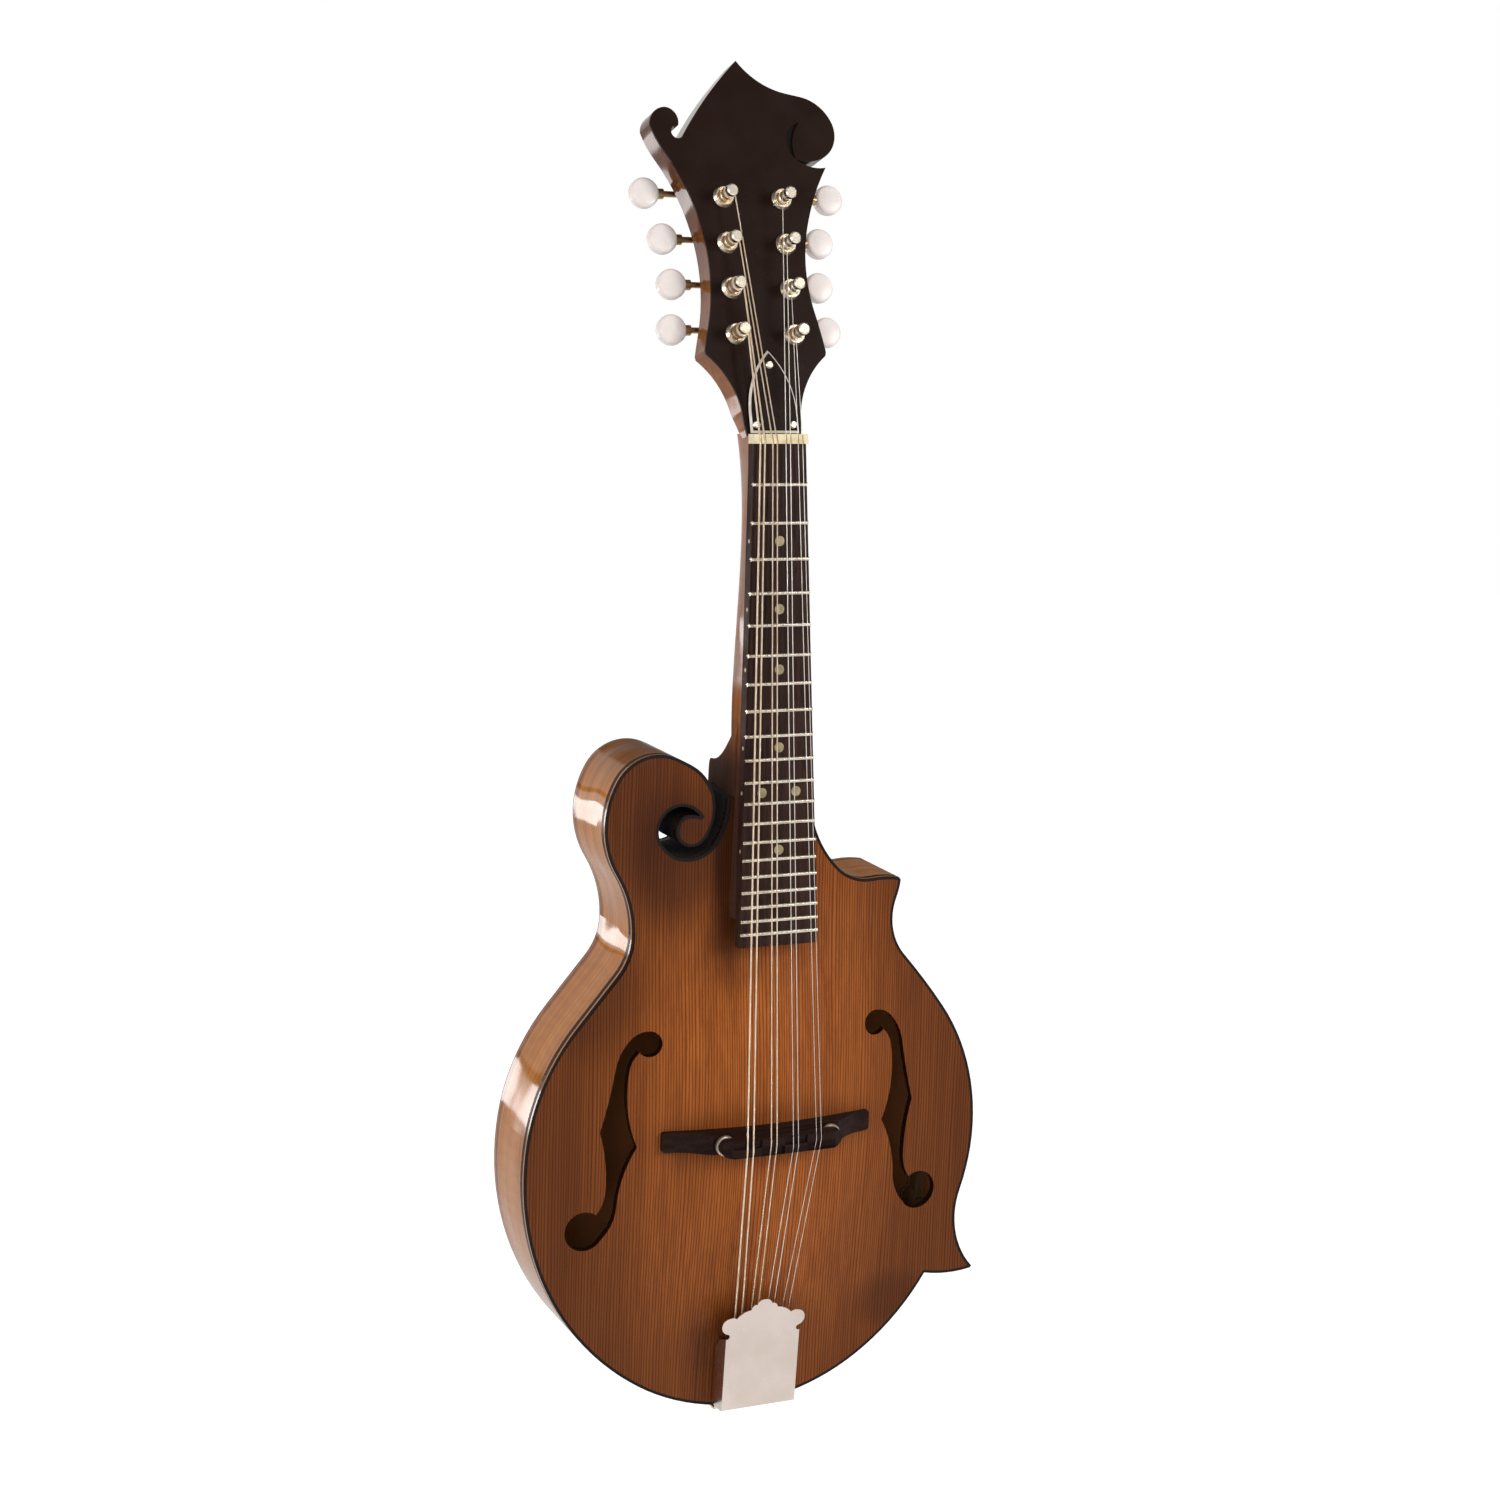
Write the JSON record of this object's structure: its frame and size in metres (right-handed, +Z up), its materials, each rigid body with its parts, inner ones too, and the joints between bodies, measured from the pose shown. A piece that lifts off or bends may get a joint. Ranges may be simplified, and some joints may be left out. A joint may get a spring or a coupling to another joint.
{
  "type": "f-style mandolin",
  "caption": "F-style mandolin with a scroll and two points, carved plates, f-holes, geared tuners, adjustable bridge and covered tailpiece.",
  "frame": {"origin": "middle of the nut's front edge, on the playing surface of the fingerboard, where the prongs of a wall hanger hold the neck", "axes": "+Z up the instrument towards the head, +X to the treble side, -Y out of the front"},
  "size_m": [0.255, 0.1133, 0.684],
  "materials": {
    "stained_spruce": "gloss lacquer over a brown stained spruce top",
    "figured_maple": "gloss lacquer over brown stained maple",
    "plain_wood": "bare",
    "black_binding": "gloss",
    "rosewood": "oiled",
    "fret_wire": "polished",
    "pearl_dot": "pearl",
    "bone": "polished bone",
    "black_veneer": "gloss",
    "rod_steel": "plain steel",
    "brass": "plain",
    "cover_laminate": "black over white, bevelled edge",
    "nickel": "nickel plated",
    "plate_nickel": "nickel plated",
    "ebony": "polished ebony",
    "satin_nickel": "satin nickel plated",
    "bronze_winding": "bronze wound",
    "plain_steel": "plain",
    "post_nickel": "nickel plated",
    "worm_brass": "plated",
    "pearloid": "pearl celluloid"
  },
  "bodies": {
    "instrument": {"top_plate": "stained_spruce", "back_plate": "figured_maple", "rib_bass": "figured_maple", "rib_treble": "figured_maple", "rib_tail": "figured_maple", "rib_shoulder": "figured_maple", "neck": "figured_maple", "linings": "plain_wood", "tone_bars": "plain_wood", "head_block": "plain_wood", "tail_block": "plain_wood", "point_block": "plain_wood", "top_binding": "black_binding", "back_binding": "black_binding", "fingerboard": "rosewood", "frets": "fret_wire", "position_dots": "pearl_dot", "nut": "bone", "head_overlay": "black_veneer", "truss_rod": "rod_steel", "truss_rod_cover": "cover_laminate", "small_screws": "nickel", "post_bushings": "nickel", "end_pin": "nickel", "bridge_posts": "nickel", "tailpiece_base": "nickel", "tuner_plates": "plate_nickel", "bridge_base": "ebony", "wound_strings": "bronze_winding", "plain_strings": "plain_steel"},
    "knob_g1": {"worm_g1": "worm_brass", "button_g1": "pearloid"},
    "peg_g1": {"post_g1": "post_nickel"},
    "knob_g2": {"worm_g2": "worm_brass", "button_g2": "pearloid"},
    "peg_g2": {"post_g2": "post_nickel"},
    "knob_d1": {"worm_d1": "worm_brass", "button_d1": "pearloid"},
    "peg_d1": {"post_d1": "post_nickel"},
    "knob_d2": {"worm_d2": "worm_brass", "button_d2": "pearloid"},
    "peg_d2": {"post_d2": "post_nickel"},
    "knob_a1": {"worm_a1": "worm_brass", "button_a1": "pearloid"},
    "peg_a1": {"post_a1": "post_nickel"},
    "knob_a2": {"worm_a2": "worm_brass", "button_a2": "pearloid"},
    "peg_a2": {"post_a2": "post_nickel"},
    "knob_e1": {"worm_e1": "worm_brass", "button_e1": "pearloid"},
    "peg_e1": {"post_e1": "post_nickel"},
    "knob_e2": {"worm_e2": "worm_brass", "button_e2": "pearloid"},
    "peg_e2": {"post_e2": "post_nickel"},
    "saddle": {"bridge_saddle": "ebony"},
    "bass_wheel": {"bass_thumbwheel": "nickel"},
    "treble_wheel": {"treble_thumbwheel": "nickel"},
    "tail_cover": {"tailpiece_cover": "satin_nickel"},
    "rod_nut": {"truss_rod_nut": "brass"}
  },
  "joints": [
    {"name": "knob_g1_turn", "type": "hinge", "parent": "instrument", "child": "knob_g1", "pos_m": [-0.0157, 0.04091, 0.052], "axis": [-1, 0, 0], "continuous": true},
    {"name": "peg_g1_turn", "type": "hinge", "parent": "instrument", "child": "peg_g1", "pos_m": [-0.0157, 0.03188, 0.04839], "axis": [0, -0.9521, 0.3057], "continuous": true},
    {"name": "knob_g2_turn", "type": "hinge", "parent": "instrument", "child": "knob_g2", "pos_m": [-0.0157, 0.04791, 0.0738], "axis": [-1, 0, 0], "continuous": true},
    {"name": "peg_g2_turn", "type": "hinge", "parent": "instrument", "child": "peg_g2", "pos_m": [-0.0157, 0.03888, 0.07019], "axis": [0, -0.9521, 0.3057], "continuous": true},
    {"name": "knob_d1_turn", "type": "hinge", "parent": "instrument", "child": "knob_d1", "pos_m": [-0.0157, 0.05488, 0.09551], "axis": [-1, 0, 0], "continuous": true},
    {"name": "peg_d1_turn", "type": "hinge", "parent": "instrument", "child": "peg_d1", "pos_m": [-0.0157, 0.04585, 0.0919], "axis": [0, -0.9521, 0.3057], "continuous": true},
    {"name": "knob_d2_turn", "type": "hinge", "parent": "instrument", "child": "knob_d2", "pos_m": [-0.0157, 0.06188, 0.11732], "axis": [-1, 0, 0], "continuous": true},
    {"name": "peg_d2_turn", "type": "hinge", "parent": "instrument", "child": "peg_d2", "pos_m": [-0.0157, 0.05285, 0.11371], "axis": [0, -0.9521, 0.3057], "continuous": true},
    {"name": "knob_a1_turn", "type": "hinge", "parent": "instrument", "child": "knob_a1", "pos_m": [0.0157, 0.06188, 0.11732], "axis": [1, 0, 0], "continuous": true},
    {"name": "peg_a1_turn", "type": "hinge", "parent": "instrument", "child": "peg_a1", "pos_m": [0.0157, 0.05285, 0.11371], "axis": [0, -0.9521, 0.3057], "continuous": true},
    {"name": "knob_a2_turn", "type": "hinge", "parent": "instrument", "child": "knob_a2", "pos_m": [0.0157, 0.05488, 0.09551], "axis": [1, 0, 0], "continuous": true},
    {"name": "peg_a2_turn", "type": "hinge", "parent": "instrument", "child": "peg_a2", "pos_m": [0.0157, 0.04585, 0.0919], "axis": [0, -0.9521, 0.3057], "continuous": true},
    {"name": "knob_e1_turn", "type": "hinge", "parent": "instrument", "child": "knob_e1", "pos_m": [0.0157, 0.04791, 0.0738], "axis": [1, 0, 0], "continuous": true},
    {"name": "peg_e1_turn", "type": "hinge", "parent": "instrument", "child": "peg_e1", "pos_m": [0.0157, 0.03888, 0.07019], "axis": [0, -0.9521, 0.3057], "continuous": true},
    {"name": "knob_e2_turn", "type": "hinge", "parent": "instrument", "child": "knob_e2", "pos_m": [0.0157, 0.04091, 0.052], "axis": [1, 0, 0], "continuous": true},
    {"name": "peg_e2_turn", "type": "hinge", "parent": "instrument", "child": "peg_e2", "pos_m": [0.0157, 0.03188, 0.04839], "axis": [0, -0.9521, 0.3057], "continuous": true},
    {"name": "bass_wheel_turn", "type": "hinge", "parent": "saddle", "child": "bass_wheel", "pos_m": [-0.028, -0.0268, -0.346], "axis": [0, 1, 0], "range_deg": [0, 773]},
    {"name": "treble_wheel_turn", "type": "hinge", "parent": "saddle", "child": "treble_wheel", "pos_m": [0.03, -0.0268, -0.346], "axis": [0, 1, 0], "range_deg": [0, 773]},
    {"name": "saddle_height", "type": "slide", "parent": "instrument", "child": "saddle", "axis": [0, 1, 0], "range_m": [0, 0.0015]},
    {"name": "tail_cover_slide", "type": "slide", "parent": "instrument", "child": "tail_cover", "axis": [0, -1, 0], "range_m": [0, 0.025]},
    {"name": "truss_rod_adjust", "type": "hinge", "parent": "instrument", "child": "rod_nut", "pos_m": [0, 0.01272, 0.00698], "axis": [0, 0.0819, 0.9966], "range_deg": [-180, 180]}
  ],
  "couplings": [
    {"joint": "peg_g1_turn", "follows": "knob_g1_turn", "ratio": -0.071429},
    {"joint": "peg_g2_turn", "follows": "knob_g2_turn", "ratio": -0.071429},
    {"joint": "peg_d1_turn", "follows": "knob_d1_turn", "ratio": -0.071429},
    {"joint": "peg_d2_turn", "follows": "knob_d2_turn", "ratio": -0.071429},
    {"joint": "peg_a1_turn", "follows": "knob_a1_turn", "ratio": 0.071429},
    {"joint": "peg_a2_turn", "follows": "knob_a2_turn", "ratio": 0.071429},
    {"joint": "peg_e1_turn", "follows": "knob_e1_turn", "ratio": 0.071429},
    {"joint": "peg_e2_turn", "follows": "knob_e2_turn", "ratio": 0.071429},
    {"joint": "bass_wheel_turn", "follows": "saddle_height", "rad_per_m": 8976},
    {"joint": "treble_wheel_turn", "follows": "saddle_height", "rad_per_m": 8976}
  ]
}
